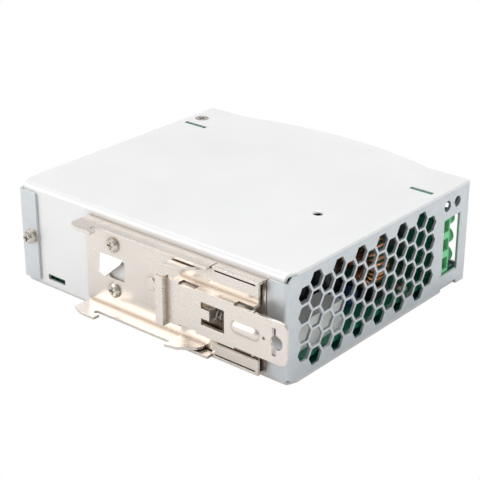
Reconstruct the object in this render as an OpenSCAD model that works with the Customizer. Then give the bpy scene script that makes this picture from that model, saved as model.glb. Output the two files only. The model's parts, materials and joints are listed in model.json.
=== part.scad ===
// Metal-cased power supply that clips onto a 35 mm DIN rail, lying on one side plate.
// X runs along the long side and points down once it is mounted.
// Y runs from the rail side to the terminal side, and Z runs across the thickness.

/* [Case] */
// Length of the case
case_l = 125.2; // [120:0.1:152]
// Depth of the case from its rear panel to the crown of its front
case_d = 113.5; // [106:0.1:137]
// Thickness of the case between its two side plates
case_t = 40; // [38.5:0.1:48]
// Thickness of the case sheet metal
sheet = 1.0; // [0.8:0.1:1.2]
// Outer radius of the cover's bends
bend_r = 2.0; // [1.4:0.1:3]
// How far the crowned front stands ahead of its flat ends
front_bulge = 6.7; // [3:0.1:9]
// Length of the flat at each end of the front
front_flat = 18; // [15:0.5:24]
// Width of the chassis strip folded onto the rear panel at the upper end
strip_upper = 8.6; // [8.4:0.1:12]
// Width of the chassis strip folded onto the rear panel at the lower end
strip_lower = 8.0; // [6:0.1:9]

/* [Vents] */
// Distance between neighbouring hexagonal vents
vent_pitch = 7.03; // [6:0.01:9]
// Width of the web between two vents
vent_web = 0.95; // [0.7:0.05:2]
// Distance from the rear panel to the first column of vents
vent_start = 8.65; // [7:0.05:12]

/* [Terminals] */
// Distance between neighbouring terminals
pole_pitch = 7.5; // [7.3:0.02:7.62]
// Number of supply terminals
input_poles = 3; // [2:1:3]
// Number of load terminals
output_poles = 4; // [2:1:4]
// Radius of a terminal screw's thread
terminal_screw_r = 1.5; // [1.25:0.05:1.6]
// How far a wire clamp rises when its screw is tightened
clamp_travel = 2.0; // [1:0.1:2.2]

/* [Rail clip] */
// Width of the DIN rail across its lips
rail_w = 35; // [35:0.5:35]
// Distance from the upper end of the case to the clip's bracket
bracket_x = 36; // [30:0.5:40]
// Length of the clip's bracket
bracket_l = 80.8; // [78:0.1:81]
// Width of the clip's bracket
bracket_w = 33.6; // [32:0.1:36]
// Thickness of the clip's sheet steel
clip_t = 1.0; // [0.8:0.1:1.2]
// Height of the rail seats over the rear panel
seat_h = 6.5; // [6:0.1:8]
// Height of the fixed hooks over the rear panel
hook_h = 11.2; // [10.5:0.1:12.5]
// Gap that the rail's lip slides into
lip_gap = 2.0; // [1.6:0.1:2.4]
// Height of the latch plate over the rear panel
plate_h = 7.3; // [7.1:0.1:8]
// Width of the latch plate
plate_w = 16.4; // [15:0.1:18]
// How far the latch slides to let go of the rail
latch_travel = 4.0; // [3.2:0.1:4.2]
// How far the latch runs in past the rail's edge when no rail is fitted
latch_preload = 1.0; // [0.5:0.1:1.2]
// Outer radius of the latch spring
spring_r = 2.3; // [1.9:0.1:2.4]
// Radius of the latch spring's wire
spring_wire_r = 0.35; // [0.25:0.05:0.45]

/* [Electronics] */
// Thickness of the circuit boards
board_t = 1.6; // [1:0.1:2]
// Height of the standoffs under the main board
standoff_h = 3.8; // [3:0.1:5]
// Radius of the board and bracket screws
screw_r = 1.5; // [1.25:0.05:1.7]
// Radius of the two primary capacitors
primary_cap_r = 9; // [7:0.5:9.5]
// Height of the two primary capacitors
primary_cap_h = 30; // [22:0.5:31]
// Outer radius of the line choke's core
choke_r = 9.8; // [8:0.2:10.4]
// Length of the transformer core along the case
transformer_l = 30; // [24:1:32]

/* [Hidden] */
$fn = 48;
eps = 0.01;
running_gap = 0.05;
part_gap = 0.3;

// Case heights and the crowned front's arc
front_y = case_d - front_bulge;
bulge_chord = case_l - 2 * front_flat;
front_r = (bulge_chord * bulge_chord / 4 + front_bulge * front_bulge) / (2 * front_bulge);
mid_x = case_l / 2;
mid_z = case_t / 2;
top_z = case_t - sheet;

// Clip
bracket_end = bracket_x + bracket_l;
flange_in = bracket_w / 2 - clip_t;
hook_end = bracket_x + 11.4;
notch_x = bracket_x + 8.3;
wing_out = flange_in - 0.4;
wing_in = wing_out - clip_t;
rail_edge = notch_x + rail_w;
catch_x = rail_edge - latch_preload;
nose_l = 2.3;
lip_half = 9.1;
retainer_x = bracket_x + 60.8;
retainer_l = 19.6;
retainer_in = 11.6;
retainer_h = 4.4;
foot_h = 2.6;
wing_x = catch_x + 2.9;
wing_end = retainer_x - latch_travel - 0.4;
window_x = catch_x + 16.2;
window_l = 10;
window_w = 8.4;
tab_w = 3.6;
spring_x = window_x + 3.6;
spring_end = bracket_x + 78.6;
spring_h = plate_h / 2;
spring_turns = 9;
bead_x = window_x + 12.2;
bead_l = 13.4;
bead_r = 3.0;
tongue_end = bracket_end + 13.6;
tongue_w = 15.2;
tongue_corner_r = 2.6;
bend_slot_l = 7.4;
release_x = tongue_end - 6;
release_l = 1.6;
release_w = 10;
release_r = 2.5;
bracket_screw_x = bracket_x + 12.2;
bracket_screw_dz = 8.8;
base_lead = 1.2;
lance_z0 = mid_z - 4.4;
lance_z1 = mid_z + 3.2;
lance_l = 10.4;
lance_w = 6.4;
lance_angle = 24;

// Boards
board_z = sheet + standoff_h;
board_top = board_z + board_t;
board_edge = 2.2;
pole_board_y = front_y - 20.95;
block_y = pole_board_y + board_t;
board_slot_l = 9.4;
pole_board_l = 11.4;
opening_edge = 0.1;
window_y0 = front_y - 15.9;
window_y1 = front_y - 5.3;

// Terminal blocks, measured from their outer face and from the board they stand on
block_l = 11.2;
block_face = 1.3;
block_base_h = 9.6;
block_h = 15.8;
screw_in = 5.2;
turret_r = 3.3;
entry_l = 2.0;
chamber_h0 = 4.0;
chamber_l = 6.3;
chamber_w = 5.8;
clamp_h0 = 4.4;
clamp_wall = 1.0;
clamp_hole = 3.6;
clamp_h = clamp_hole + 2 * clamp_wall;
chamber_h1 = clamp_h0 + clamp_h + clamp_travel + 0.4;
clamp_l = 5.4;
clamp_w = 5.2;
entry_h0 = clamp_h0 + clamp_wall;
entry_w = 4.7;
head_h0 = chamber_h1 + 1.1;
terminal_head_r = 2.5;
terminal_head_h = 1.8;
contact_t = 0.8;

// Parts on the main board
fuse_at = [case_l - 30.2, pole_board_y - 12.5];
fuse_l = 18;
fuse_r = 2.6;
thermistor_at = [case_l - 22.5, pole_board_y - 8.5];
varistor_at = [case_l - 37.2, pole_board_y - 22];
line_cap_at = [case_l - 9.8, 23];
line_cap_size = [9.6, 26, 10.4];
safety_cap_at = [[case_l - 11.5, 41.5], [case_l - 11.5, 49]];
choke_at = [case_l - 17.2, 62.2];
choke_hole_r = 4.8;
choke_thick = 8;
choke_wire_r = 0.55;
choke_turns = 11;
choke_z = board_top + 1.6 + choke_r + 1.9;
primary_cap_at = [[case_l - 24.9, 28], [case_l - 24.9, 46.6]];
transformer_at = [66, 42];
transformer_d = 28;
transformer_h = 26;
primary_sink_at = [50, 74];
primary_sink_size = [40, 3, 27];
output_sink_at = [14, 8];
output_sink_size = [32, 3, 27];
device_size = [10, 4.4, 15];
output_cap_at = [[16, 60], [28, 60], [16, 74], [28, 74]];
output_cap_r = 5;
output_cap_h = 22;
output_choke_at = [28, 34];
output_choke_r = 10;
output_choke_hole_r = 5;
output_choke_thick = 8;
output_choke_turns = 16;
output_choke_wire_r = 0.6;
opto_at = [[43, 62], [43, 50]];
chip_at = [[80, 66], [79, 16]];
lamp_at = [21, board_top + 5];
lamp_r = 1.5;
adjuster_at = [29, board_top + 5];
adjuster_w = 9.5;
adjuster_shaft_r = 3;
board_hole_at = [[6, 6], [6, 78], [case_l - 6, 6], [case_l - 6, 73]];
side_screw_at = [5.1, front_y - 12.5];
side_screw_l = 2 * sheet + 0.8;
washer_t = 0.5;
spring_washer_t = 0.8;
flange_head_r = 2.4;
flange_screw_at = [6.0, mid_z];
hole_at = [case_l - 23.9, 46.4];
hole_r = 1.7;
strip_z0 = 2.6;
strip_z1 = 2.6;

// The origin lies on the side plate, under the middle of the whole assembly
origin_x = tongue_end / 2;
origin_y = (case_d - hook_h) / 2;

module place() {
    translate([-origin_x, -origin_y, 0])
        children();
}

// Outline of the case in plan, drawn in from its true edge by inset and starting at y0
module plan_outline(inset, y0) {
    translate([inset, y0])
        square([case_l - 2 * inset, front_y - inset - y0]);
    intersection() {
        translate([mid_x, case_d - front_r])
            circle(r = front_r - inset, $fn = 200);
        translate([front_flat - inset, front_y - inset - 1])
            square([bulge_chord + 2 * inset, front_bulge + 2]);
    }
}

// A rod along Y whose near end sits at y
module rod_y(x, y, z, r, l) {
    translate([x, y, z])
        rotate([-90, 0, 0])
            cylinder(r = r, h = l);
}

// A rod along X whose near end sits at x
module rod_x(x, y, z, r, l) {
    translate([x, y, z])
        rotate([0, 90, 0])
            cylinder(r = r, h = l);
}

// A cross recess cut down into a screw head from z = 0
module cross_recess(size, depth) {
    translate([-size / 2, -size / 8, -depth])
        cube([size, size / 4, depth + 1]);
    translate([-size / 8, -size / 2, -depth])
        cube([size / 4, size, depth + 1]);
}

// A pan head screw that points down -Z from z = 0, where its head sits
module pan_screw(r, head_r, head_h, l) {
    difference() {
        union() {
            cylinder(r = head_r, h = head_h * 0.5);
            translate([0, 0, head_h * 0.5])
                cylinder(r1 = head_r, r2 = head_r * 0.72, h = head_h * 0.5);
        }
        translate([0, 0, head_h])
            cross_recess(head_r * 1.15, head_h * 0.6);
    }
    translate([0, 0, -l])
        cylinder(r = r, h = l + eps);
}

// Points, outward directions and a round wire swept along them
function unit(v) = v / norm(v);
function tangent(p, i) = unit(p[min(i + 1, len(p) - 1)] - p[max(i - 1, 0)]);

module swept_wire(path, outward, r, sides) {
    count = len(path);
    rings = [for (i = [0:count - 1])
        let (t = tangent(path, i))
        let (b = unit(cross(t, outward[i])))
        let (n = cross(b, t))
        for (k = [0:sides - 1])
            path[i] + r * (cos(360 * k / sides) * n + sin(360 * k / sides) * b)];
    walls = [for (i = [0:count - 2])
        for (k = [0:sides - 1])
            [i * sides + k, i * sides + (k + 1) % sides,
             (i + 1) * sides + (k + 1) % sides, (i + 1) * sides + k]];
    near_cap = [for (k = [0:sides - 1]) sides - 1 - k];
    far_cap = [for (k = [0:sides - 1]) (count - 1) * sides + k];
    polyhedron(points = rings, faces = concat([near_cap], walls, [far_cap]), convexity = 10);
}

// Turns of wire round part of a ring core that lies flat about the Z axis
function rounded(v) = sign(v) * sqrt(abs(v));
module ring_winding(core_r, bore_r, thick, wire_r, turns, angle0, angle1) {
    steps = 12;
    mean_r = (core_r + bore_r) / 2;
    half_r = (core_r - bore_r) / 2 + 1.25 * wire_r + 0.25;
    half_z = thick / 2 + 1.25 * wire_r + 0.25;
    count = turns * steps;
    angles = [for (i = [0:count]) angle0 + (angle1 - angle0) * i / count];
    phases = [for (i = [0:count]) 360 * i / steps + 15];
    path = [for (i = [0:count])
        [(mean_r + half_r * rounded(cos(phases[i]))) * cos(angles[i]),
         (mean_r + half_r * rounded(cos(phases[i]))) * sin(angles[i]),
         half_z * rounded(sin(phases[i]))]];
    outward = [for (i = [0:count])
        unit([cos(phases[i]) * cos(angles[i]), cos(phases[i]) * sin(angles[i]), sin(phases[i])])];
    swept_wire(path, outward, wire_r, 6);
}

// A ring core with eased edges, flat about the Z axis
module ring_core(core_r, bore_r, thick) {
    ease = 0.8;
    rotate_extrude($fn = 64)
        polygon([
            [bore_r, ease - thick / 2], [bore_r + ease, -thick / 2],
            [core_r - ease, -thick / 2], [core_r, ease - thick / 2],
            [core_r, thick / 2 - ease], [core_r - ease, thick / 2],
            [bore_r + ease, thick / 2], [bore_r, thick / 2 - ease]]);
}

// Hexagonal vents through an end plate, with points along Y
module vents() {
    column_step = vent_pitch * sqrt(3) / 2;
    hex_r = (vent_pitch - vent_web) / sqrt(3);
    columns = floor((window_y0 - 4 - hex_r - vent_start) / column_step) + 1;
    long_rows = floor((case_t - 4) / vent_pitch);
    for (column = [0:columns - 1]) {
        rows = column % 2 == 1 ? long_rows : long_rows - 1;
        for (row = [0:rows - 1])
            translate([0, vent_start + column * column_step, mid_z + (row - (rows - 1) / 2) * vent_pitch])
                rotate([0, 90, 0])
                    rotate([0, 0, 90])
                        cylinder(r = hex_r, h = 4 * sheet, center = true, $fn = 6);
    }
}

// U-shaped cover: one side plate, the rear panel and the other side plate
module cover_profile(r, inset) {
    translate([inset + r, inset])
        square([case_d, case_t - 2 * inset]);
    translate([inset, inset + r])
        square([case_d, case_t - 2 * inset - 2 * r]);
    translate([inset + r, inset + r])
        circle(r = r);
    translate([inset + r, case_t - inset - r])
        circle(r = r);
}

module corner_cut(x, direction) {
    cut_x = 1.9;
    cut_y = 5;
    translate([x, 0, -1])
        linear_extrude(case_t + 2)
            polygon([[-direction, -3], [direction * cut_x, -3], [direction * cut_x, 0], [0, cut_y], [-direction, cut_y]]);
}

module case_cover() {
    color([0.90, 0.90, 0.91])
        place()
            difference() {
                intersection() {
                    rotate([90, 0, 90])
                        linear_extrude(case_l)
                            difference() {
                                cover_profile(bend_r, 0);
                                cover_profile(bend_r - sheet, sheet);
                            }
                    translate([0, 0, -1])
                        linear_extrude(case_t + 2)
                            plan_outline(0, -1);
                }
                corner_cut(0, 1);
                corner_cut(case_l, -1);
                // Room for the chassis end plates
                translate([-1, -1, sheet])
                    cube([sheet + 1 + part_gap, case_d, case_t - 2 * sheet]);
                translate([case_l - sheet - part_gap, -1, sheet])
                    cube([sheet + 1 + part_gap, case_d, case_t - 2 * sheet]);
                // Slots that hold the tabs of the terminal boards
                translate([board_edge + 1 - 0.2, pole_board_y - 0.15, top_z - 1])
                    cube([board_slot_l + 1.6, board_t + 0.3, sheet + 2]);
                translate([case_l - board_edge - 1 - board_slot_l, pole_board_y - 0.15, top_z - 1])
                    cube([board_slot_l + 0.2, board_t + 0.3, sheet + 2]);
                // Slot beside the main board's rear tab
                translate([12.4, -1, board_z - 0.8])
                    cube([8.8, sheet + 2, board_t + 0.5]);
                // Step in the lower side plate under the wire windows
                for (x = [-1, case_l - sheet - part_gap])
                    translate([x, window_y0, -1])
                        cube([sheet + part_gap + 1, window_y1 - window_y0, sheet + 1]);
                // Countersunk screw holes into the chassis tabs
                for (side = [0, 1])
                    side_screw_place(side)
                        side_screw_hole();
                // Dimpled hole in the upper side plate
                translate([hole_at[0], hole_at[1], top_z - 1])
                    cylinder(r = hole_r, h = sheet + 2);
                translate([hole_at[0], hole_at[1], case_t - 0.4])
                    cylinder(r1 = hole_r, r2 = hole_r + 0.6, h = 0.4 + eps);
                // Screw holes for the rail clip and for the folded strip
                for (side = [-1, 1])
                    rod_y(bracket_screw_x, -1, mid_z + side * bracket_screw_dz, screw_r + running_gap, sheet + 2);
                rod_y(flange_screw_at[0], -1, flange_screw_at[1], screw_r + running_gap, sheet + 2);
            }
}

module side_screw_place(side) {
    translate([side_screw_at[0], side_screw_at[1], mid_z])
        rotate([side * 180, 0, 0])
            translate([0, 0, mid_z])
                children();
}

module side_screw_hole() {
    translate([0, 0, -4])
        cylinder(r = screw_r + running_gap, h = 5);
    translate([0, 0, -1.35])
        cylinder(r1 = screw_r + running_gap, r2 = screw_r + 1.4 + running_gap, h = 1.35 + eps);
}

module side_screws() {
    color([0.75, 0.72, 0.66])
        place()
            for (side = [0, 1])
                side_screw_place(side)
                    difference() {
                        union() {
                            translate([0, 0, -side_screw_l])
                                cylinder(r = screw_r, h = side_screw_l - 0.5);
                            translate([0, 0, -1.4])
                                cylinder(r1 = screw_r, r2 = screw_r + 1.35, h = 1.35);
                        }
                        cross_recess(3.2, 0.9);
                    }
}

// End, crowned front and other end in one strip, folded onto the rear panel
module chassis_profile() {
    round_r = 1.2;
    difference() {
        plan_outline(0, -sheet);
        plan_outline(sheet, -2 * sheet - 1);
        for (side = [0, 1])
            translate([side * case_l, -sheet])
                mirror([side, 0])
                    difference() {
                        translate([-1, -1])
                            square(round_r + 1);
                        translate([round_r, round_r])
                            circle(r = round_r);
                    }
    }
}

// A strip folded onto the rear panel: it is l wide, and its free corners are rounded
module rear_strip(l) {
    corner_r = 1.3;
    z0 = strip_z0;
    z1 = case_t - strip_z1;
    translate([sheet - eps, -sheet, z0])
        cube([l - sheet - corner_r + eps, sheet, z1 - z0]);
    translate([sheet, -sheet, z0 + corner_r])
        cube([l - sheet, sheet, z1 - z0 - 2 * corner_r]);
    for (z = [z0 + corner_r, z1 - corner_r])
        rod_y(l - corner_r, -sheet, z, corner_r, sheet);
}

module wire_window(x, poles) {
    translate([x - 2, window_y0, board_top - opening_edge])
        cube([4 + sheet, window_y1 - window_y0, poles * pole_pitch + 2 * opening_edge]);
}

module screw_access(x, l, poles) {
    translate([x, front_y - 3 * sheet, board_top - opening_edge])
        cube([l, 5 * sheet, poles * pole_pitch + 2 * opening_edge]);
}

module front_chassis() {
    tab_l = 9;
    tab_w = 9;
    color([0.70, 0.74, 0.80])
        place()
            difference() {
                union() {
                    translate([0, 0, sheet])
                        linear_extrude(case_t - 2 * sheet)
                            chassis_profile();
                    rear_strip(strip_upper);
                    translate([case_l, 0, 0])
                        mirror([1, 0, 0])
                            rear_strip(strip_lower);
                    // Tapped tabs under the side plates
                    for (z = [sheet, top_z - sheet])
                        translate([sheet - eps, side_screw_at[1] - tab_w / 2, z])
                            cube([tab_l, tab_w, sheet]);
                }
                // Relief notches at the rear corners of the end plates
                for (x = [-1, case_l - sheet - 1])
                    translate([x, 0, 0])
                        rotate([90, 0, 90])
                            linear_extrude(sheet + 2) {
                                polygon([[-3, case_t], [-3, case_t - strip_z1], [0.8, case_t - strip_z1], [3.8, case_t]]);
                                polygon([[-3, 0], [-3, strip_z0], [0.6, strip_z0], [3.2, 0]]);
                            }
                // Steps in the lower edge of the end plates, under the wire windows
                for (x = [-1, case_l - sheet - 1])
                    translate([x, window_y0, 0])
                        cube([sheet + 2, window_y1 - window_y0, sheet + 0.7]);
                vents();
                translate([case_l, 0, 0])
                    vents();
                wire_window(case_l - sheet, input_poles);
                wire_window(-sheet, output_poles);
                screw_access(case_l - block_face - block_l - 0.4, block_l - 0.6, input_poles);
                screw_access(block_face + 1, block_l - 0.6, output_poles);
                // Round holes beside the supply terminals
                for (y = [front_y - 14.4, front_y - 7.8])
                    rod_x(case_l - 2 * sheet, y, board_top + input_poles * pole_pitch + 5.2, 2.1, 3 * sheet);
                // Holes for the lamp and the adjuster
                rod_y(lamp_at[0], front_y - 4, lamp_at[1], lamp_r + 0.15, 12);
                rod_y(adjuster_at[0], front_y - 4, adjuster_at[1], adjuster_shaft_r + 0.6, 14);
                rod_y(flange_screw_at[0], -2 * sheet, flange_screw_at[1], screw_r + running_gap, 3 * sheet);
                for (side = [0, 1])
                    side_screw_place(side)
                        side_screw_hole();
            }
}

// Polyester sheet between the cover and the solder side of the main board
module insulation_sheet() {
    thick = 0.4;
    color([0.10, 0.50, 0.46])
        place()
            difference() {
                translate([board_edge, board_edge, sheet])
                    cube([case_l - 2 * board_edge, front_y - 2 * board_edge - 2, thick]);
                for (at = board_hole_at)
                    translate([at[0], at[1], 0])
                        cylinder(r = 3.2, h = case_t);
                translate([side_screw_at[0] - 6, side_screw_at[1] - 5, 0])
                    cube([11.5, 10, case_t]);
            }
}

module flange_screw() {
    color([0.80, 0.78, 0.74])
        place()
            translate([flange_screw_at[0], -sheet - washer_t - spring_washer_t, flange_screw_at[1]])
                rotate([90, 0, 0])
                    pan_screw(screw_r, flange_head_r, 1.9, 6);
}

module flange_washers() {
    color([0.78, 0.74, 0.66])
        place()
            difference() {
                union() {
                    rod_y(flange_screw_at[0], -sheet - washer_t, flange_screw_at[1], flange_head_r + 0.5, washer_t);
                    rod_y(flange_screw_at[0], -sheet - washer_t - spring_washer_t, flange_screw_at[1],
                        flange_head_r, spring_washer_t - eps);
                }
                rod_y(flange_screw_at[0], -sheet - 3, flange_screw_at[1], screw_r + running_gap, 6);
            }
}

// Rail clip: everything is measured in heights over the rear panel, so Y is minus the height
module clip_box(x0, x1, z0, z1, h0, h1) {
    translate([x0, -h1, z0])
        cube([x1 - x0, h1 - h0, z1 - z0]);
}

// A plate on edge: its outline is drawn in length and height, and it is as thick as the clip
module edge_plate(z, outline) {
    translate([0, 0, z])
        linear_extrude(clip_t)
            polygon([for (p = outline) [p[0], -p[1]]]);
}

module fixed_hook_side(z) {
    difference() {
        edge_plate(z, [
            [bracket_x, 0], [bracket_x, hook_h - 2], [bracket_x + 4.5, hook_h], [hook_end, hook_h],
            [hook_end, seat_h], [retainer_x - 0.4, seat_h], [retainer_x - 0.4, 0]]);
        translate([notch_x + lip_gap / 2, -seat_h - lip_gap / 2, z - 1])
            cylinder(r = lip_gap / 2, h = clip_t + 2);
        clip_box(notch_x + lip_gap / 2, hook_end + 1, z - 1, z + clip_t + 1, seat_h, seat_h + lip_gap);
    }
}

module din_bracket() {
    color([0.86, 0.82, 0.78])
        place()
            difference() {
                union() {
                    clip_box(bracket_x - base_lead, bracket_end, mid_z - bracket_w / 2 + clip_t, mid_z + bracket_w / 2 - clip_t, 0, clip_t);
                    clip_box(bracket_x, bracket_end, mid_z - bracket_w / 2, mid_z + bracket_w / 2, 0, clip_t);
                    fixed_hook_side(mid_z - bracket_w / 2);
                    fixed_hook_side(mid_z + flange_in);
                    // Channel that keeps the latch down: two sides and their turned-in lips
                    for (side = [-1, 1]) {
                        z_side = side > 0 ? mid_z + flange_in : mid_z - bracket_w / 2;
                        z_lip = side > 0 ? mid_z + retainer_in : mid_z - bracket_w / 2;
                        clip_box(retainer_x, retainer_x + retainer_l, z_side, z_side + clip_t, 0, retainer_h);
                        clip_box(retainer_x, retainer_x + retainer_l, z_lip, z_lip + bracket_w / 2 - retainer_in,
                            retainer_h - clip_t, retainer_h);
                    }
                    // Stop boss and the spring's fixed stop
                    rod_y(notch_x + 22.4, -clip_t - 1, mid_z, 2.1, 1.2);
                    clip_box(spring_end, spring_end + clip_t, mid_z - 3, mid_z + 3, 0, plate_h - clip_t - 0.5);
                    // Lanced flap, bent out along the upper edge of its hole
                    translate([bracket_x + 6, -clip_t * 1.3, lance_z1])
                        rotate([90 - lance_angle, 0, 0])
                            translate([0, 0, -clip_t * 0.8])
                                linear_extrude(clip_t * 0.8)
                                    polygon([[-0.6, 0.8], [lance_l, 0.8], [lance_l - 0.6, -0.8], [4.6, -lance_w], [1.6, -lance_w + 0.8]]);
                }
                // Hole that the flap was cut from
                translate([0, 1, 0])
                    rotate([90, 0, 0])
                        linear_extrude(clip_t + 1)
                            polygon([[bracket_x + 5.6, lance_z1], [bracket_x + 5.6, lance_z1 - 3], [bracket_x + 10.5, lance_z0],
                                [bracket_x + 17, lance_z0], [bracket_x + 17.4, lance_z1]]);
                // Narrow relief slits along the channel's corners
                for (side = [-1, 1])
                    clip_box(retainer_x + 1.2, retainer_x + retainer_l - 1.2,
                        mid_z + side * (flange_in - 0.3) - 0.3, mid_z + side * (flange_in - 0.3) + 0.3,
                        retainer_h - clip_t - eps, retainer_h + 1);
                for (side = [-1, 1])
                    rod_y(bracket_screw_x, -3, mid_z + side * bracket_screw_dz, screw_r + running_gap, 4);
            }
}

module bracket_screws() {
    color([0.80, 0.77, 0.72])
        place()
            for (side = [-1, 1])
                translate([bracket_screw_x, -clip_t, mid_z + side * bracket_screw_dz])
                    rotate([90, 0, 0])
                        pan_screw(screw_r, 2.7, 1.4, 5);
}

// Side of the latch: it slides inside the bracket's side and rises into a finger wing
module wing_side(z) {
    edge_plate(z, [
        [wing_x, foot_h - clip_t], [wing_x, hook_h], [wing_x + 4.8, hook_h - 1], [wing_end - 1, seat_h - 0.3],
        [wing_end, seat_h - 2.4], [wing_end, foot_h - clip_t]]);
}

module latch_bead(r, drop) {
    translate([0, -plate_h + 1.8, mid_z]) {
        rod_x(bead_x + bead_r, 0, 0, r, bead_l - 2 * bead_r);
        for (x = [bead_x + bead_r, bead_x + bead_l - bead_r])
            translate([x, 0, 0])
                sphere(r = r);
    }
}

module din_slider() {
    half = plate_w / 2;
    foot_x = wing_x;
    foot_end = bracket_end - 1.8;
    color([0.88, 0.82, 0.80])
        place()
            difference() {
                union() {
                    // Raised plate with its side walls and feet
                    clip_box(catch_x + clip_t - eps, bracket_end, mid_z - half, mid_z + half, plate_h - clip_t, plate_h);
                    for (side = [-1, 1]) {
                        z_wall = side > 0 ? mid_z + half - clip_t : mid_z - half;
                        clip_box(foot_x, foot_end, z_wall, z_wall + clip_t, foot_h - clip_t, plate_h - eps);
                        z_foot = side > 0 ? mid_z + half - clip_t : mid_z - wing_out;
                        clip_box(foot_x, foot_end, z_foot, z_foot + wing_out - half + clip_t, foot_h - clip_t, foot_h);
                    }
                    wing_side(mid_z + wing_in);
                    wing_side(mid_z - wing_out);
                    // Catch: the upturned end and the nose that hooks over the rail's lip
                    clip_box(catch_x, catch_x + clip_t, mid_z - lip_half, mid_z + lip_half,
                        plate_h - clip_t, seat_h + lip_gap + clip_t);
                    clip_box(catch_x - nose_l, catch_x + eps, mid_z - lip_half, mid_z + lip_half,
                        seat_h + lip_gap, seat_h + lip_gap + clip_t);
                    // Tongue that sticks out past the case
                    clip_box(bracket_end - eps, tongue_end - tongue_corner_r, mid_z - tongue_w / 2,
                        mid_z + tongue_w / 2, plate_h - clip_t, plate_h);
                    clip_box(bracket_end - eps, tongue_end, mid_z - tongue_w / 2 + tongue_corner_r,
                        mid_z + tongue_w / 2 - tongue_corner_r, plate_h - clip_t, plate_h);
                    for (side = [-1, 1])
                        rod_y(tongue_end - tongue_corner_r, -plate_h, mid_z + side * (tongue_w / 2 - tongue_corner_r),
                            tongue_corner_r, clip_t);
                    intersection() {
                        latch_bead(bead_r);
                        clip_box(0, tongue_end, 0, case_t, plate_h - eps, hook_h);
                    }
                    // Tab in the window, turned down as the spring's seat
                    clip_box(spring_x - clip_t, spring_x, mid_z - tab_w / 2, mid_z + tab_w / 2,
                        foot_h - clip_t + 0.4, plate_h);
                }
                // Window over the spring, round the tab
                difference() {
                    clip_box(window_x, window_x + window_l, mid_z - window_w / 2, mid_z + window_w / 2,
                        plate_h - clip_t - 1, plate_h + 1);
                    clip_box(window_x - 1, spring_x, mid_z - tab_w / 2, mid_z + tab_w / 2, 0, hook_h);
                }
                latch_bead(bead_r - 0.7);
                rod_y(bead_x + bead_l + 0.9, -plate_h - 1, mid_z, 0.6, 4);
                // Openings along the plate's bends
                for (x = [catch_x + 6.4, catch_x + 30.4])
                    for (side = [-1, 1]) {
                        z_cut = mid_z + side * (half - 0.1);
                        clip_box(x, x + bend_slot_l, z_cut - clip_t, z_cut + clip_t, plate_h - clip_t - 1.6, plate_h - clip_t + eps);
                        clip_box(x, x + bend_slot_l, z_cut - 0.6, z_cut + 0.6, plate_h - clip_t, plate_h + 1);
                    }
                // Opening for a screwdriver blade
                clip_box(release_x, release_x + release_l, mid_z - release_w / 2, mid_z + release_w / 2, 0, hook_h);
                rod_y(release_x + 1.8, -plate_h - 1, mid_z, release_r, 4);
            }
}

module latch_spring() {
    steps = 16;
    count = spring_turns * steps;
    coil_r = spring_r - spring_wire_r;
    start = spring_x + spring_wire_r + 0.05;
    run = spring_end - spring_x - 2 * spring_wire_r - 0.1;
    path = [for (i = [0:count])
        [start + run * i / count, -spring_h + coil_r * sin(360 * i / steps), mid_z + coil_r * cos(360 * i / steps)]];
    outward = [for (i = [0:count]) [0, sin(360 * i / steps), cos(360 * i / steps)]];
    color([0.55, 0.52, 0.48])
        place()
            swept_wire(path, outward, spring_wire_r, 8);
}

module main_board() {
    color([0.05, 0.42, 0.28])
        place()
            difference() {
                union() {
                    translate([board_edge, board_edge, board_z])
                        cube([case_l - 2 * board_edge, front_y - 2 * board_edge - 2, board_t]);
                    translate([13, sheet + 0.2, board_z])
                        cube([7.6, board_edge, board_t]);
                }
                for (at = board_hole_at)
                    translate([at[0], at[1], 0])
                        cylinder(r = screw_r + running_gap, h = case_t);
            }
}

module board_standoffs() {
    color([0.80, 0.70, 0.42])
        place()
            for (at = board_hole_at)
                translate([at[0], at[1], sheet])
                    difference() {
                        cylinder(r = 2.9, h = standoff_h, $fn = 6);
                        translate([0, 0, -1])
                            cylinder(r = screw_r + running_gap, h = standoff_h + 2);
                    }
}

module board_screws() {
    color([0.78, 0.76, 0.72])
        place()
            for (at = board_hole_at)
                translate([at[0], at[1], board_top])
                    pan_screw(screw_r, 2.7, 1.9, board_t + standoff_h - 0.4);
}

// Upright board that carries a terminal block, with a tab into the side plate
module pole_board(x, tab_x) {
    translate([x, pole_board_y, board_top])
        cube([pole_board_l, board_t, top_z - 0.2 - board_top]);
    translate([tab_x, pole_board_y, top_z - 1])
        cube([board_slot_l - 0.4, board_t, sheet + 0.7]);
}

module pole_holes(x, poles) {
    for (pole = [0:poles - 1])
        translate([x, pole_board_y - 1, board_top + (pole + 0.5) * pole_pitch - 0.6])
            cube([contact_t + 0.1, board_t + 2, 1.2]);
}

module input_board() {
    color([0.06, 0.45, 0.30])
        place()
            difference() {
                pole_board(case_l - board_edge - pole_board_l, case_l - board_edge - 0.8 - board_slot_l);
                pole_holes(case_l - block_face - entry_l - chamber_l - contact_t - 0.1, input_poles);
            }
}

module output_board() {
    color([0.06, 0.45, 0.30])
        place()
            difference() {
                pole_board(board_edge, board_edge + 1.2);
                pole_holes(block_face + entry_l + chamber_l, output_poles);
            }
}

// Terminal parts are drawn for the supply end, with X measured back from the block's outer face
module at_input() {
    translate([case_l - block_face, block_y, board_top])
        children();
}

module at_output() {
    translate([block_face, block_y, board_top])
        mirror([1, 0, 0])
            children();
}

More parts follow.
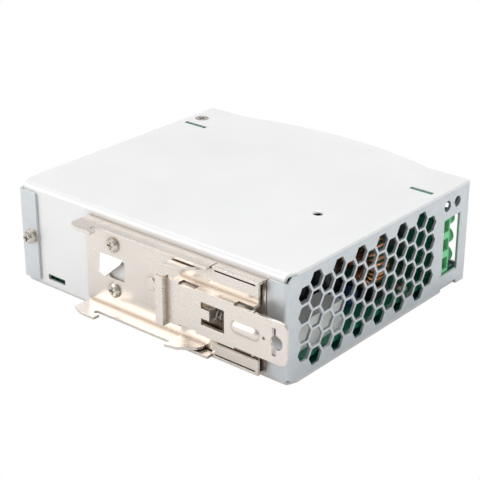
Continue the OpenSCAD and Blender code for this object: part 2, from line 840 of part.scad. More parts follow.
module block(poles) {
    difference() {
        union() {
            translate([-block_l, 0, 0])
                cube([block_l, block_base_h, poles * pole_pitch]);
            for (pole = [0:poles - 1])
                translate([0, block_base_h - eps, (pole + 0.5) * pole_pitch]) {
                    rod_y(-screw_in, 0, 0, turret_r, block_h - block_base_h);
                    translate([-block_l, 0, -turret_r])
                        cube([block_l - screw_in, block_h - block_base_h - 1.5, 2 * turret_r]);
                }
        }
        for (pole = [0:poles - 1])
            translate([0, 0, (pole + 0.5) * pole_pitch]) {
                translate([-entry_l - chamber_l, chamber_h0, -chamber_w / 2])
                    cube([chamber_l, chamber_h1 - chamber_h0, chamber_w]);
                translate([-entry_l - 1, entry_h0, -entry_w / 2])
                    cube([entry_l + 2, clamp_hole, entry_w]);
                rod_y(-screw_in, chamber_h1 - 1, 0, terminal_screw_r + part_gap, 4);
                rod_y(-screw_in, head_h0 - part_gap, 0, terminal_head_r + part_gap, 6);
                translate([-entry_l - chamber_l - contact_t - 0.1, -1, -1.6])
                    cube([contact_t + 0.2, chamber_h1 - 1.2, 3.2]);
            }
    }
}

module contacts(poles) {
    for (pole = [0:poles - 1])
        translate([-entry_l - chamber_l - contact_t - 0.05, 0, (pole + 0.5) * pole_pitch]) {
            translate([0, 0, -1.5])
                cube([contact_t, chamber_h1 - 2.4, 3]);
            translate([0, -board_t - 1.6, -0.5])
                cube([contact_t, board_t + 1.7, 1]);
        }
}

module terminal_screw(pole) {
    translate([-screw_in, head_h0, (pole - 0.5) * pole_pitch])
        rotate([-90, 0, 0])
            difference() {
                union() {
                    cylinder(r = terminal_head_r, h = terminal_head_h);
                    translate([0, 0, clamp_h0 + clamp_h - clamp_wall - head_h0 - 0.6])
                        cylinder(r = terminal_screw_r, h = head_h0 - clamp_h0 - clamp_h + clamp_wall + 0.6 + eps);
                }
                translate([-terminal_head_r - 1, -0.4, terminal_head_h - 1])
                    cube([2 * terminal_head_r + 2, 0.8, 2]);
                translate([-0.4, -terminal_head_r * 0.7, terminal_head_h - 1])
                    cube([0.8, terminal_head_r * 1.4, 2]);
            }
}

module terminal_clamp(pole) {
    translate([-screw_in, clamp_h0, (pole - 0.5) * pole_pitch])
        difference() {
            translate([-clamp_l / 2, 0, -clamp_w / 2])
                cube([clamp_l, clamp_h, clamp_w]);
            translate([-clamp_l, clamp_wall, -clamp_w / 2 + clamp_wall * 0.8])
                cube([2 * clamp_l, clamp_hole, clamp_w - clamp_wall * 1.6]);
            rod_y(0, clamp_h - clamp_wall - 1, 0, terminal_screw_r + running_gap, clamp_wall + 2);
        }
}

module input_block() {
    color([0.36, 0.82, 0.45])
        place()
            at_input()
                block(input_poles);
}

module output_block() {
    color([0.36, 0.82, 0.45])
        place()
            at_output()
                block(output_poles);
}

module input_contacts() {
    color([0.80, 0.78, 0.70])
        place()
            at_input()
                contacts(input_poles);
}

module output_contacts() {
    color([0.80, 0.78, 0.70])
        place()
            at_output()
                contacts(output_poles);
}

module input_screw(pole) {
    color([0.82, 0.81, 0.78])
        place()
            at_input()
                terminal_screw(pole);
}

module output_screw(pole) {
    color([0.82, 0.81, 0.78])
        place()
            at_output()
                terminal_screw(pole);
}

module input_clamp(pole) {
    color([0.72, 0.70, 0.64])
        place()
            at_input()
                terminal_clamp(pole);
}

module output_clamp(pole) {
    color([0.72, 0.70, 0.64])
        place()
            at_output()
                terminal_clamp(pole);
}

// A part that stands on the main board at [x, y]
module on_board(at) {
    translate([at[0], at[1], board_top])
        children();
}

module fuse() {
    lift = 1.2;
    color([0.82, 0.80, 0.74])
        place()
            on_board(fuse_at) {
                rod_y(0, -fuse_l / 2, lift + fuse_r, fuse_r - 0.2, fuse_l);
                for (end = [-1, 1]) {
                    rod_y(0, end * (fuse_l / 2 - 2.5) - 2.5, lift + fuse_r, fuse_r, 5);
                    translate([-1.2, end * (fuse_l / 2 - 2.5) - 1.5, 0])
                        cube([2.4, 3, lift + 0.5]);
                }
            }
}

// A round radial component, on edge across the case
module disc_part(r, thick) {
    rod_x(-thick / 2, 0, 2 + r, r, thick);
    for (side = [-1, 1])
        translate([0, side * r * 0.5, 0])
            cylinder(r = 0.4, h = 4, $fn = 16);
}

module thermistor() {
    color([0.16, 0.20, 0.17])
        place()
            on_board(thermistor_at)
                disc_part(6, 4.5);
}

module varistor() {
    color([0.12, 0.30, 0.62])
        place()
            on_board(varistor_at)
                disc_part(4.6, 3.2);
}

module safety_capacitors() {
    color([0.15, 0.38, 0.70])
        place()
            for (at = safety_cap_at)
                on_board(at)
                    disc_part(3, 3);
}

module line_capacitor() {
    color([0.88, 0.88, 0.84])
        place()
            on_board(line_cap_at)
                translate([-line_cap_size[0] / 2, -line_cap_size[1] / 2, 0])
                    cube(line_cap_size);
}

module choke_place() {
    translate([choke_at[0], choke_at[1], choke_z])
        rotate([90, 0, 0])
            children();
}

module choke_core() {
    color([0.18, 0.36, 0.30])
        place()
            choke_place()
                ring_core(choke_r, choke_hole_r, choke_thick);
}

module choke_windings() {
    color([0.78, 0.42, 0.22])
        place()
            choke_place()
                for (start = [-62, 118])
                    ring_winding(choke_r, choke_hole_r, choke_thick, choke_wire_r, choke_turns, start, start + 124);
}

module choke_base() {
    base_t = 1.5;
    color([0.12, 0.12, 0.13])
        place()
            on_board(choke_at)
                difference() {
                    translate([-choke_r, -choke_thick / 2 - 0.6, 0])
                        cube([2 * choke_r, choke_thick + 1.2, base_t + 3]);
                    translate([0, 0, choke_z - board_top])
                        rotate([90, 0, 0])
                            cylinder(r = choke_r + 2.1, h = choke_thick + 6, center = true, $fn = 64);
                }
}

// Flat device case with a metal tab, standing against a heatsink at y = 0 and facing -Y
module tab_device() {
    translate([-device_size[0] / 2, -device_size[1], 5])
        cube([device_size[0], device_size[1], device_size[2] - 6]);
    difference() {
        translate([-device_size[0] / 2, -1.3, 5])
            cube([device_size[0], 1.3, device_size[2]]);
        rod_y(0, -3, 5 + device_size[2] - 2.9, screw_r + running_gap, 6);
    }
    for (leg = [-1, 0, 1])
        translate([leg * 2.54 - 0.4, -device_size[1] + 1.5, 0])
            cube([0.8, 0.6, 5.2]);
}

module bridge_rectifier() {
    color([0.13, 0.13, 0.14])
        place()
            on_board([primary_sink_at[0] + 33, primary_sink_at[1]]) {
                translate([-6, -4, 4])
                    cube([12, 4, 15]);
                for (leg = [-1.5, -0.5, 0.5, 1.5])
                    translate([leg * 2.8 - 0.4, -2.4, 0])
                        cube([0.8, 0.6, 4.2]);
            }
}

module primary_capacitors() {
    color([0.10, 0.11, 0.13])
        place()
            for (at = primary_cap_at)
                on_board(at)
                    can(primary_cap_r, primary_cap_h);
}

// Aluminium can capacitor with a crimped groove and a dished top
module can(r, h) {
    rotate_extrude($fn = 48)
        polygon([
            [0, 0], [r - 0.5, 0], [r, 0.6], [r, 2.2], [r - 0.6, 3.0], [r, 3.8],
            [r, h - 0.8], [r - 0.6, h], [r - 1.6, h], [r - 2.0, h - 0.5], [0, h - 0.5]]);
}

module heatsink(at, size, holes) {
    on_board(at)
        difference() {
            union() {
                cube(size);
                for (fin = [0:4])
                    translate([4 + fin * (size[0] - 9.5) / 4, size[1] - eps, 3])
                        cube([1.5, 3, size[2] - 3]);
            }
            for (hole = holes)
                rod_y(hole, -1, 5 + device_size[2] - 2.9, screw_r + running_gap, size[1] + 0.8);
        }
}

module primary_heatsink() {
    color([0.72, 0.73, 0.75])
        place()
            heatsink(primary_sink_at, primary_sink_size, [8, 21]);
}

module output_heatsink() {
    color([0.72, 0.73, 0.75])
        place()
            translate([0, 2 * output_sink_at[1] + output_sink_size[1], 0])
                mirror([0, 1, 0])
                    heatsink(output_sink_at, output_sink_size, [8, 22]);
}

module power_transistors() {
    color([0.14, 0.14, 0.15])
        place()
            for (dx = [8, 21])
                on_board([primary_sink_at[0] + dx, primary_sink_at[1]])
                    tab_device();
}

module output_diodes() {
    color([0.14, 0.14, 0.15])
        place()
            for (dx = [8, 22])
                on_board([output_sink_at[0] + dx, output_sink_at[1] + output_sink_size[1]])
                    mirror([0, 1, 0])
                        tab_device();
}

module device_screws() {
    color([0.78, 0.76, 0.72])
        place() {
            for (dx = [8, 21])
                translate([primary_sink_at[0] + dx, primary_sink_at[1] - 1.3, board_top + 5 + device_size[2] - 2.9])
                    rotate([90, 0, 0])
                        pan_screw(screw_r, 2.7, 1.8, 4);
            for (dx = [8, 22])
                translate([output_sink_at[0] + dx, output_sink_at[1] + output_sink_size[1] + 1.3,
                    board_top + 5 + device_size[2] - 2.9])
                    rotate([-90, 0, 0])
                        pan_screw(screw_r, 2.7, 1.8, 4);
        }
}

// E-shaped ferrite pair round a bobbin
module transformer_core() {
    leg = 6;
    color([0.22, 0.22, 0.24])
        place()
            on_board(transformer_at)
                difference() {
                    translate([-transformer_l / 2, -transformer_d * 0.28, 3])
                        cube([transformer_l, transformer_d * 0.56, transformer_h]);
                    for (side = [-1, 1])
                        translate([side > 0 ? leg * 0.6 : -transformer_l / 2 + leg * 0.8, -transformer_d, 3 + leg * 0.8])
                            cube([transformer_l / 2 - leg * 1.4, 2 * transformer_d, transformer_h - leg * 1.6]);
                }
}

module transformer_bobbin() {
    wall = 1;
    slot = transformer_l - 12 * 0.8 - 0.8;
    color([0.20, 0.16, 0.13])
        place()
            on_board(transformer_at)
                difference() {
                    union() {
                        translate([-slot / 2, -transformer_d / 2, 8.1])
                            cube([slot, transformer_d, wall]);
                        translate([-slot / 2, -transformer_d / 2, transformer_h - 2.1 - wall])
                            cube([slot, transformer_d, wall]);
                        translate([-transformer_l * 0.4, transformer_d / 2 - 5, 0])
                            cube([transformer_l * 0.8, 5, 8.1 + eps]);
                        translate([-transformer_l * 0.4, -transformer_d / 2, 0])
                            cube([transformer_l * 0.8, 5, 8.1 + eps]);
                    }
                    translate([-3.8, -transformer_d * 0.28 - 0.2, 0])
                        cube([7.6, transformer_d * 0.56 + 0.4, case_t]);
                }
}

module transformer_winding() {
    slot = transformer_l - 12 * 0.8 - 0.8;
    color([0.86, 0.70, 0.16])
        place()
            on_board(transformer_at)
                difference() {
                    translate([-slot / 2 + 0.6, -transformer_d / 2 + 0.8, 9.2])
                        cube([slot - 1.2, transformer_d - 1.6, transformer_h - 12.4]);
                    translate([-3.8, -transformer_d * 0.28 - 0.2, 0])
                        cube([7.6, transformer_d * 0.56 + 0.4, case_t]);
                }
}

module output_choke_place() {
    translate([output_choke_at[0], output_choke_at[1], board_top + output_choke_thick / 2 + 1.9])
        children();
}

module output_choke_core() {
    color([0.80, 0.74, 0.28])
        place()
            output_choke_place()
                ring_core(output_choke_r, output_choke_hole_r, output_choke_thick);
}

module output_choke_winding() {
    color([0.76, 0.40, 0.20])
        place()
            output_choke_place()
                ring_winding(output_choke_r, output_choke_hole_r, output_choke_thick, output_choke_wire_r,
                    output_choke_turns, 20, 340);
}

module output_capacitors() {
    color([0.10, 0.11, 0.13])
        place()
            for (at = output_cap_at)
                on_board(at)
                    can(output_cap_r, output_cap_h);
}

module chip(size) {
    translate([-size[0] / 2, -size[1] / 2, 0.4])
        cube(size);
    for (side = [-1, 1])
        for (leg = [-1.5, -0.5, 0.5, 1.5])
            translate([leg * size[0] / 4.5 - 0.3, side * (size[1] / 2 + 0.5) - 0.55, 0])
                cube([0.6, 1.1, 1.2]);
}

module optocouplers() {
    color([0.90, 0.90, 0.88])
        place()
            for (at = opto_at)
                on_board(at)
                    chip([6.5, 6.4, 3.4]);
}

module controller_chips() {
    color([0.12, 0.12, 0.13])
        place()
            for (at = chip_at)
                on_board(at)
                    chip([6, 4, 1.6]);
}

// Front edge of the case at x
function front_at(x) = x < front_flat ? front_y : case_d - front_r + sqrt(front_r * front_r - (x - mid_x) * (x - mid_x));

module status_lamp() {
    lamp_y = front_at(lamp_at[0]);
    color([0.30, 0.80, 0.35])
        place() {
            rod_y(lamp_at[0], lamp_y - 5.5, lamp_at[1], lamp_r, 6);
            translate([lamp_at[0], lamp_y + 0.5, lamp_at[1]])
                sphere(r = lamp_r);
            translate([lamp_at[0] - 2.2, lamp_y - 9.5, board_top])
                cube([4.4, 4.1, 7.4]);
        }
}

module adjuster_body() {
    back = front_at(adjuster_at[0]) - 10.5;
    color([0.15, 0.32, 0.66])
        place()
            difference() {
                translate([adjuster_at[0] - adjuster_w / 2, back, board_top])
                    cube([adjuster_w, 5, adjuster_w]);
                rod_y(adjuster_at[0], back + 1.5, adjuster_at[1], adjuster_shaft_r + running_gap, 6);
            }
}

module adjuster_rotor() {
    back = front_at(adjuster_at[0]) - 10.5;
    color([0.90, 0.88, 0.80])
        place()
            difference() {
                rod_y(adjuster_at[0], back + 1.5 + running_gap, adjuster_at[1], adjuster_shaft_r, 8);
                translate([adjuster_at[0] - adjuster_shaft_r - 1, back + 8.4, adjuster_at[1] - 0.5])
                    cube([2 * adjuster_shaft_r + 2, 3, 1]);
            }
}

case_cover();
front_chassis();
insulation_sheet();
flange_screw();
flange_washers();
side_screws();
din_bracket();
bracket_screws();
din_slider();
latch_spring();
main_board();
board_standoffs();
board_screws();
input_board();
output_board();
input_block();
output_block();
input_contacts();
output_contacts();
input_screw(1);  // input_screw_1
input_screw(2);  // input_screw_2
input_screw(3);  // input_screw_3
input_clamp(1);  // input_clamp_1
input_clamp(2);  // input_clamp_2
input_clamp(3);  // input_clamp_3
output_screw(1);  // output_screw_1
output_screw(2);  // output_screw_2
output_screw(3);  // output_screw_3
output_screw(4);  // output_screw_4
output_clamp(1);  // output_clamp_1
output_clamp(2);  // output_clamp_2
output_clamp(3);  // output_clamp_3
output_clamp(4);  // output_clamp_4
fuse();
thermistor();
varistor();
line_capacitor();
safety_capacitors();
choke_core();
choke_windings();
choke_base();
bridge_rectifier();
primary_capacitors();
transformer_core();
transformer_bobbin();
transformer_winding();
primary_heatsink();
power_transistors();
output_heatsink();
output_diodes();
device_screws();
output_choke_core();
output_choke_winding();
output_capacitors();
optocouplers();
controller_chips();
status_lamp();
adjuster_body();
adjuster_rotor();
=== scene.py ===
import json
import math

import bpy
from mathutils import Matrix, Vector

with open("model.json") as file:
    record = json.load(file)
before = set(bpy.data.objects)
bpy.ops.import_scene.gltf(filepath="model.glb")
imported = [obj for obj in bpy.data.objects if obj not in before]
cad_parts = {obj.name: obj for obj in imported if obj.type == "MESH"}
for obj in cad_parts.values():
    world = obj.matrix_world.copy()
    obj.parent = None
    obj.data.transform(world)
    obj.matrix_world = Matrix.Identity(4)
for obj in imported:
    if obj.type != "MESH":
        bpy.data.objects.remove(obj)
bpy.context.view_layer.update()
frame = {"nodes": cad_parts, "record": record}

# ---------------------------------------------------------------- node helpers


class Nodes:
    """A material's node tree, with short calls for what the finishes below need."""

    def __init__(self, name):
        self.mat = bpy.data.materials.new(name)
        self.mat.use_nodes = True
        self.tree = self.mat.node_tree
        self.tree.nodes.clear()
        self.out = self.tree.nodes.new("ShaderNodeOutputMaterial")

    def add(self, kind, **props):
        node = self.tree.nodes.new(kind)
        for key, value in props.items():
            setattr(node, key, value)
        return node

    def plug(self, source, target):
        self.tree.links.new(source, target)

    def fill(self, socket, value):
        """Sets a socket to a number or a colour, or links another node's output to it."""
        if isinstance(value, (int, float)):
            socket.default_value = value
        elif isinstance(value, tuple):
            socket.default_value = (*value[:3], 1.0)
        else:
            self.plug(value, socket)

    def coords(self, scale):
        """Object coordinates in metres, stretched by scale on each axis."""
        tex = self.add("ShaderNodeTexCoord")
        mapping = self.add("ShaderNodeMapping")
        mapping.inputs["Scale"].default_value = scale
        self.plug(tex.outputs["Object"], mapping.inputs["Vector"])
        return mapping.outputs["Vector"]

    def noise(self, scale, detail, rough):
        node = self.add("ShaderNodeTexNoise")
        node.inputs["Scale"].default_value = 1.0
        node.inputs["Detail"].default_value = detail
        node.inputs["Roughness"].default_value = rough
        self.plug(self.coords(scale), node.inputs["Vector"])
        return node.outputs["Fac"]

    def cells(self, density, feature="F1"):
        """Cells at that many to the metre."""
        node = self.add("ShaderNodeTexVoronoi", feature=feature)
        node.inputs["Scale"].default_value = 1.0
        self.plug(self.coords((density, density, density)), node.inputs["Vector"])
        return node

    def spread(self, value, low, high, to_low, to_high):
        """Maps low..high to to_low..to_high, and holds the ends."""
        node = self.add("ShaderNodeMapRange")
        node.inputs["From Min"].default_value = low
        node.inputs["From Max"].default_value = high
        node.inputs["To Min"].default_value = to_low
        node.inputs["To Max"].default_value = to_high
        self.plug(value, node.inputs["Value"])
        return node.outputs["Result"]

    def even(self, noise, to_low=0.0, to_high=1.0):
        """Maps the middle stretch of a noise, where nearly all of it lies, to to_low..to_high."""
        return self.spread(noise, 0.3, 0.7, to_low, to_high)

    def maths(self, operation, a, b):
        node = self.add("ShaderNodeMath", operation=operation)
        self.fill(node.inputs[0], a)
        self.fill(node.inputs[1], b)
        return node.outputs["Value"]

    def plus(self, a, b):
        return self.maths("ADD", a, b)

    def times(self, a, b):
        return self.maths("MULTIPLY", a, b)

    def mix(self, share, a, b):
        """Colour a with that share of colour b."""
        node = self.add("ShaderNodeMix", data_type="RGBA", blend_type="MIX")
        self.fill(node.inputs[0], share)
        self.fill(node.inputs[6], a)
        self.fill(node.inputs[7], b)
        return node.outputs[2]

    def edge(self, radius):
        """1 on sharp edges within radius of them and 0 elsewhere, with the rounded normal."""
        bevel = self.add("ShaderNodeBevel", samples=4)
        bevel.inputs["Radius"].default_value = radius
        geometry = self.add("ShaderNodeNewGeometry")
        dot = self.add("ShaderNodeVectorMath", operation="DOT_PRODUCT")
        self.plug(bevel.outputs["Normal"], dot.inputs[0])
        self.plug(geometry.outputs["Normal"], dot.inputs[1])
        return self.spread(dot.outputs["Value"], 0.99, 0.75, 0.0, 1.0), bevel.outputs["Normal"]

    def crevice(self, reach, most):
        """Painted shade: up to most where other surfaces within reach close in, 0 on open faces."""
        node = self.add("ShaderNodeAmbientOcclusion", samples=6)
        node.inputs["Distance"].default_value = reach
        return self.spread(node.outputs["AO"], 0.35, 0.92, most, 0.0)

    def bump(self, height, distance, strength, normal=None):
        node = self.add("ShaderNodeBump")
        node.inputs["Strength"].default_value = strength
        node.inputs["Distance"].default_value = distance
        self.plug(height, node.inputs["Height"])
        if normal is not None:
            self.plug(normal, node.inputs["Normal"])
        return node.outputs["Normal"]

    def surface(self, color, rough, metallic, normal, **extra):
        """Ends the material with a Principled shader."""
        bsdf = self.add("ShaderNodeBsdfPrincipled")
        values = {"Base Color": color, "Roughness": rough, "Metallic": metallic, "Normal": normal, **extra}
        for key, value in values.items():
            self.fill(bsdf.inputs[key], value)
        self.plug(bsdf.outputs["BSDF"], self.out.inputs["Surface"])
        return self.mat


def shade(color, factor):
    return tuple(min(1.0, c * factor) for c in color)


# ---------------------------------------------------------------- kinds of finish
# Scales are in features to the metre, and reaches and bump distances in metres


def sheet_metal(name, color, metallic, rough, grain, cloud, edge_gain,
                edge_r=0.00022, bump=0.08, streak=0.35, grime=None):
    """Rolled sheet: fine grain, faint clouding, toned cut edges and, when a crevice colour is given, painted
    shade darkening the crevices.
    """
    n = Nodes(name)
    fine = n.noise(grain, 3.0, 0.6)
    clouds = n.noise((26, 26, 26), 4.0, 0.6)
    specks = n.noise((900, 900, 900), 2.0, 0.5)
    tone = n.mix(n.even(clouds), shade(color, 1 - cloud), shade(color, 1 + cloud))
    tone = n.mix(n.spread(fine, 0.35, 0.65, 0.0, streak), tone, shade(color, 1 - 1.6 * cloud))
    edge, normal = n.edge(edge_r)
    tone = n.mix(edge, tone, shade(color, edge_gain))
    # painted shade: crevices and contact spots darkened towards the given colour
    if grime is not None:
        tone = n.mix(n.crevice(0.0028, 0.75), tone, grime)
    swing = 0.16 * streak
    roughness = n.plus(n.even(fine, rough - swing, rough + swing), n.even(clouds, -0.03, 0.03))
    height = n.plus(n.times(fine, 0.7), n.times(specks, 0.3))
    return n.surface(tone, roughness, metallic, n.bump(height, 0.00004, bump, normal))


def small_metal(name, color, rough, cloud=0.05, edge_gain=1.2):
    """Turned or stamped small parts, with the same grain on every side."""
    return sheet_metal(name, color, 1.0, rough, (500, 500, 500), cloud, edge_gain, edge_r=0.0001, bump=0.1)


def zinc(name, color, metallic, rough):
    """Zinc-plated steel with a faint spangle."""
    n = Nodes(name)
    grey = n.add("ShaderNodeSeparateColor")
    n.plug(n.cells(420).outputs["Color"], grey.inputs["Color"])
    spangle = grey.outputs["Red"]
    clouds = n.noise((34, 34, 34), 4.0, 0.6)
    streaks = n.noise((60, 700, 700), 3.0, 0.6)
    tone = n.mix(n.even(clouds), shade(color, 0.94), shade(color, 1.05))
    tone = n.mix(n.times(spangle, 0.22), tone, shade(color, 0.86))
    tone = n.mix(n.spread(streaks, 0.4, 0.7, 0.0, 0.2), tone, shade(color, 1.12))
    edge, normal = n.edge(0.0002)
    tone = n.mix(edge, tone, shade(color, 1.25))
    roughness = n.plus(n.times(spangle, 0.1), n.even(clouds, rough - 0.06, rough + 0.02))
    return n.surface(tone, roughness, metallic, n.bump(streaks, 0.00003, 0.08, normal))


def plastic(name, color, rough, mottle=0.05, grain=1400, bump=0.12, edge_gain=1.25, **extra):
    """Moulded plastic: fine texture, slight unevenness and softened edges."""
    n = Nodes(name)
    fine = n.noise((grain, grain, grain), 2.0, 0.5)
    clouds = n.noise((90, 90, 90), 3.0, 0.5)
    tone = n.mix(n.even(clouds), shade(color, 1 - mottle), shade(color, 1 + mottle))
    edge, normal = n.edge(0.00025)
    tone = n.mix(n.times(edge, 0.6), tone, shade(color, edge_gain))
    roughness = n.even(clouds, rough - 0.04, rough + 0.05)
    return n.surface(tone, roughness, 0.0, n.bump(fine, 0.00004, bump, normal), **extra)


def circuit_board(name, color, weave):
    """Solder mask with tracks, pads and the glass weave showing faintly through."""
    n = Nodes(name)
    tracks = n.cells(330, "DISTANCE_TO_EDGE").outputs["Distance"]
    pads = n.cells(300).outputs["Distance"]
    line = n.spread(tracks, 0.05, 0.12, 1.0, 0.0)
    tone = n.mix(n.times(line, 0.45), color, shade(color, 1.7))
    pad = n.spread(pads, 0.10, 0.16, 1.0, 0.0)
    solder = (0.62, 0.62, 0.58)
    tone = n.mix(pad, tone, solder)
    glass = n.noise((2200, 2200, 2200), 2.0, 0.5)
    tone = n.mix(n.spread(glass, 0.4, 0.7, 0.0, weave), tone, shade(color, 1.5))
    height = n.plus(n.times(line, 0.5), pad)
    roughness = n.spread(pad, 0.0, 1.0, 0.3, 0.25)
    return n.surface(tone, roughness, n.times(pad, 0.9), n.bump(height, 0.00005, 0.4))


def enamelled_wire(name, color, rough):
    """Copper under clear enamel, slightly uneven along its length."""
    n = Nodes(name)
    clouds = n.noise((260, 260, 260), 3.0, 0.6)
    tone = n.mix(n.even(clouds), shade(color, 0.75), shade(color, 1.2))
    enamel = {"Coat Weight": 0.4, "Coat Roughness": 0.15}
    return n.surface(tone, n.even(clouds, rough, rough + 0.1), 0.9, n.bump(clouds, 0.00004, 0.1), **enamel)


def capacitor_can(name, color):
    """Shrink sleeve on the side and a bare pressed top."""
    n = Nodes(name)
    geometry = n.add("ShaderNodeNewGeometry")
    normal = n.add("ShaderNodeSeparateXYZ")
    n.plug(geometry.outputs["Normal"], normal.inputs[0])
    top = n.spread(normal.outputs["Z"], 0.7, 0.95, 0.0, 1.0)
    clouds = n.noise((120, 120, 120), 3.0, 0.5)
    tone = n.mix(n.even(clouds), color, shade(color, 1.6))
    aluminium = (0.62, 0.63, 0.65)
    tone = n.mix(top, tone, aluminium)
    roughness = n.spread(top, 0.0, 1.0, 0.22, 0.35)
    return n.surface(tone, roughness, n.times(top, 0.9), n.bump(clouds, 0.00008, 0.15))


# ---------------------------------------------------------------- the finish of each slot

FINISHES = {
    # the cover and the clip get painted crevice shade, darkening where parts close in
    "cover_sheet": (sheet_metal, dict(
        color=(0.90, 0.90, 0.905), metallic=0.25, rough=0.44, grain=(60, 1500, 1500), cloud=0.015,
        edge_gain=0.70, edge_r=0.00012, bump=0.05, streak=0.25, grime=(0.50, 0.47, 0.43))),
    "chassis_zinc": (zinc, dict(color=(0.71, 0.745, 0.77), metallic=0.68, rough=0.36)),
    "clip_nickel": (sheet_metal, dict(
        color=(0.86, 0.80, 0.74), metallic=0.82, rough=0.27, grain=(40, 1300, 1300), cloud=0.03,
        edge_gain=1.12, edge_r=0.0002, bump=0.015, streak=0.10, grime=(0.26, 0.19, 0.13))),
    "heatsink_aluminium": (sheet_metal, dict(
        color=(0.66, 0.67, 0.69), metallic=0.95, rough=0.34, grain=(60, 60, 900), cloud=0.05, edge_gain=1.2)),
    "screw_steel": (small_metal, dict(color=(0.70, 0.66, 0.60), rough=0.24, cloud=0.06, edge_gain=1.3)),
    "spring_steel": (small_metal, dict(color=(0.36, 0.34, 0.32), rough=0.28, cloud=0.06)),
    "clamp_zinc": (small_metal, dict(color=(0.60, 0.56, 0.50), rough=0.32, cloud=0.06)),
    "tin_contact": (small_metal, dict(color=(0.70, 0.69, 0.66), rough=0.34)),
    "standoff_brass": (small_metal, dict(color=(0.76, 0.58, 0.26), rough=0.28)),
    "board_green": (circuit_board, dict(color=(0.012, 0.165, 0.095), weave=0.3)),
    "copper_wire": (enamelled_wire, dict(color=(0.84, 0.36, 0.17), rough=0.22)),
    "capacitor_sleeve": (capacitor_can, dict(color=(0.012, 0.012, 0.016))),
    "sheet_teal": (plastic, dict(color=(0.03, 0.27, 0.24), rough=0.35)),
    "terminal_green": (plastic, dict(
        color=(0.22, 0.74, 0.33), rough=0.33, grain=1200, bump=0.1, edge_gain=1.2)),
    "fuse_ceramic": (plastic, dict(color=(0.72, 0.70, 0.64), rough=0.3)),
    "thermistor_black": (plastic, dict(color=(0.03, 0.045, 0.035), rough=0.4)),
    "varistor_blue": (plastic, dict(color=(0.012, 0.045, 0.12), rough=0.32)),
    "capacitor_white": (plastic, dict(color=(0.80, 0.80, 0.77), rough=0.38, mottle=0.03)),
    "ferrite_green": (plastic, dict(color=(0.03, 0.16, 0.11), rough=0.34, mottle=0.1)),
    "iron_powder": (plastic, dict(color=(0.60, 0.50, 0.06), rough=0.4, mottle=0.1)),
    "device_black": (plastic, dict(
        color=(0.014, 0.014, 0.016), rough=0.42, mottle=0.1, grain=1000, bump=0.25)),
    "ferrite_grey": (plastic, dict(color=(0.045, 0.045, 0.05), rough=0.5, mottle=0.15, grain=700, bump=0.4)),
    "bobbin_brown": (plastic, dict(color=(0.05, 0.03, 0.02), rough=0.4, mottle=0.1)),
    "tape_yellow": (plastic, dict(color=(0.72, 0.46, 0.02), rough=0.3, mottle=0.06, grain=300, bump=0.3)),
    "opto_white": (plastic, dict(color=(0.72, 0.72, 0.69), rough=0.4)),
    "lamp_green": (plastic, {
        "color": (0.16, 0.60, 0.16), "rough": 0.15, "mottle": 0.04, "grain": 500, "bump": 0.02,
        "edge_gain": 1.2, "Transmission Weight": 0.4}),
    "adjuster_blue": (plastic, dict(color=(0.02, 0.09, 0.36), rough=0.35)),
    "adjuster_ivory": (plastic, dict(color=(0.74, 0.70, 0.56), rough=0.35)),
}


def finish_nodes():
    """Gives each CAD node the finish that its row in the record names."""
    made = {}
    for entry in frame["record"]["subparts"]:
        slot = entry["material_slot"]
        if slot not in made:
            kind, values = FINISHES[slot]
            made[slot] = kind(slot, **values)
        piece = frame["nodes"][entry["node"]]
        piece.data.materials.clear()
        piece.data.materials.append(made[slot])


# ---------------------------------------------------------------- floor, light and camera

FLOOR_HALF = 3.0
FLOOR_GAP = 0.0002
AIM = (0, 0, 0.02)  # near the middle of the case

# name, place, aimed at, width and height, watts, colour
SOFTBOXES = (
    ("key", (-0.55, -0.85, 0.45), AIM, (0.9, 0.7), 4.5, (1.0, 0.985, 0.965)),
    ("top", (-0.15, 0.25, 1.0), AIM, (0.9, 0.9), 5.2, (0.985, 0.99, 1.0)),
    ("end", (0.95, 0.25, 0.4), (0.05, 0, 0.02), (0.5, 0.5), 2.2, (0.95, 0.98, 1.0)),
)

TENT_LOW_X = (-0.2, 0.72)  # direction's X, and the tent's strength there
TENT_HIGH_X = (0.9, 0.34)

CAMERA_AT = (0.29806, -0.35670, 0.22849)
CAMERA_AZIMUTH = math.radians(-40.19)
CAMERA_ELEVATION = math.radians(24.41)
CAMERA_LENS = 103.39
CAMERA_SENSOR = 36


def floor_material():
    """White to the camera, like the sweep in a light tent, and plain pale paper for every other ray."""
    n = Nodes("paper")
    fine = n.noise((40, 40, 40), 3.0, 0.5)
    paper = n.add("ShaderNodeBsdfDiffuse")
    n.plug(n.mix(fine, (0.86, 0.86, 0.86), (0.90, 0.90, 0.90)), paper.inputs["Color"])
    glow = n.add("ShaderNodeEmission")
    n.fill(glow.inputs["Color"], (1, 1, 1))
    n.fill(glow.inputs["Strength"], 1.0)
    path = n.add("ShaderNodeLightPath")
    mixer = n.add("ShaderNodeMixShader")
    n.plug(path.outputs["Is Camera Ray"], mixer.inputs[0])
    n.plug(paper.outputs[0], mixer.inputs[1])
    n.plug(glow.outputs[0], mixer.inputs[2])
    n.plug(mixer.outputs[0], n.out.inputs["Surface"])
    return n.mat


def floor():
    side = FLOOR_HALF
    corners = [(-side, -side, 0), (side, -side, 0), (side, side, 0), (-side, side, 0)]
    mesh = bpy.data.meshes.new("floor")
    mesh.from_pydata(corners, [], [(0, 1, 2, 3)])
    mesh.materials.append(floor_material())
    obj = bpy.data.objects.new("floor", mesh)
    obj.location = (0, 0, -FLOOR_GAP)
    bpy.context.scene.collection.objects.link(obj)


def softbox(name, place, target, size, power, color):
    light = bpy.data.lights.new(name, "AREA")
    light.shape = "RECTANGLE"
    light.size, light.size_y = size
    light.energy = power
    light.color = color
    obj = bpy.data.objects.new(name, light)
    obj.location = place
    obj.rotation_euler = (Vector(target) - Vector(place)).to_track_quat("-Z", "Y").to_euler()
    bpy.context.scene.collection.objects.link(obj)


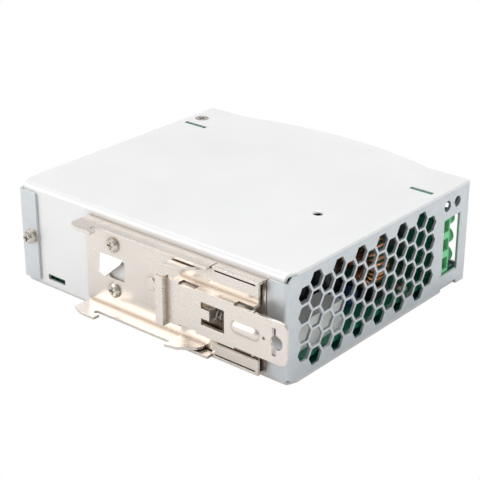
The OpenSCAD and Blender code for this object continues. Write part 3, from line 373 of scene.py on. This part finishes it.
def tent():
    """Soft light from all round, weaker toward +X. The camera sees it at full strength."""
    world = bpy.data.worlds.new("tent")
    bpy.context.scene.world = world
    world.use_nodes = True
    tree = world.node_tree
    tree.nodes.clear()
    out = tree.nodes.new("ShaderNodeOutputWorld")
    background = tree.nodes.new("ShaderNodeBackground")
    coords = tree.nodes.new("ShaderNodeTexCoord")
    split = tree.nodes.new("ShaderNodeSeparateXYZ")
    ramp = tree.nodes.new("ShaderNodeMapRange")
    ramp.inputs["From Min"].default_value, ramp.inputs["To Min"].default_value = TENT_LOW_X
    ramp.inputs["From Max"].default_value, ramp.inputs["To Max"].default_value = TENT_HIGH_X
    path = tree.nodes.new("ShaderNodeLightPath")
    strength = tree.nodes.new("ShaderNodeMix")
    strength.data_type = "FLOAT"
    strength.inputs[3].default_value = 1.0
    tree.links.new(coords.outputs["Generated"], split.inputs[0])
    tree.links.new(split.outputs["X"], ramp.inputs["Value"])
    tree.links.new(path.outputs["Is Camera Ray"], strength.inputs[0])
    tree.links.new(ramp.outputs["Result"], strength.inputs[2])
    tree.links.new(strength.outputs[0], background.inputs["Strength"])
    tree.links.new(background.outputs[0], out.inputs["Surface"])


def camera():
    """Looks at the clip and the vented end from a little above."""
    level = math.cos(CAMERA_ELEVATION)
    forward = Vector((
        math.sin(CAMERA_AZIMUTH) * level,
        math.cos(CAMERA_AZIMUTH) * level,
        -math.sin(CAMERA_ELEVATION)))
    right = forward.cross(Vector((0, 0, 1))).normalized()
    up = right.cross(forward)
    turned = Matrix((right, up, -forward)).transposed()
    obj = bpy.data.objects.new("camera", bpy.data.cameras.new("camera"))
    obj.data.sensor_width = CAMERA_SENSOR
    obj.data.lens = CAMERA_LENS
    obj.data.clip_start = 0.01
    obj.data.clip_end = 20
    obj.matrix_world = Matrix.Translation(CAMERA_AT) @ turned.to_4x4()
    bpy.context.scene.collection.objects.link(obj)
    bpy.context.scene.camera = obj


finish_nodes()
floor()
for box in SOFTBOXES:
    softbox(*box)
tent()
camera()
bpy.context.scene.view_settings.view_transform = "Standard"
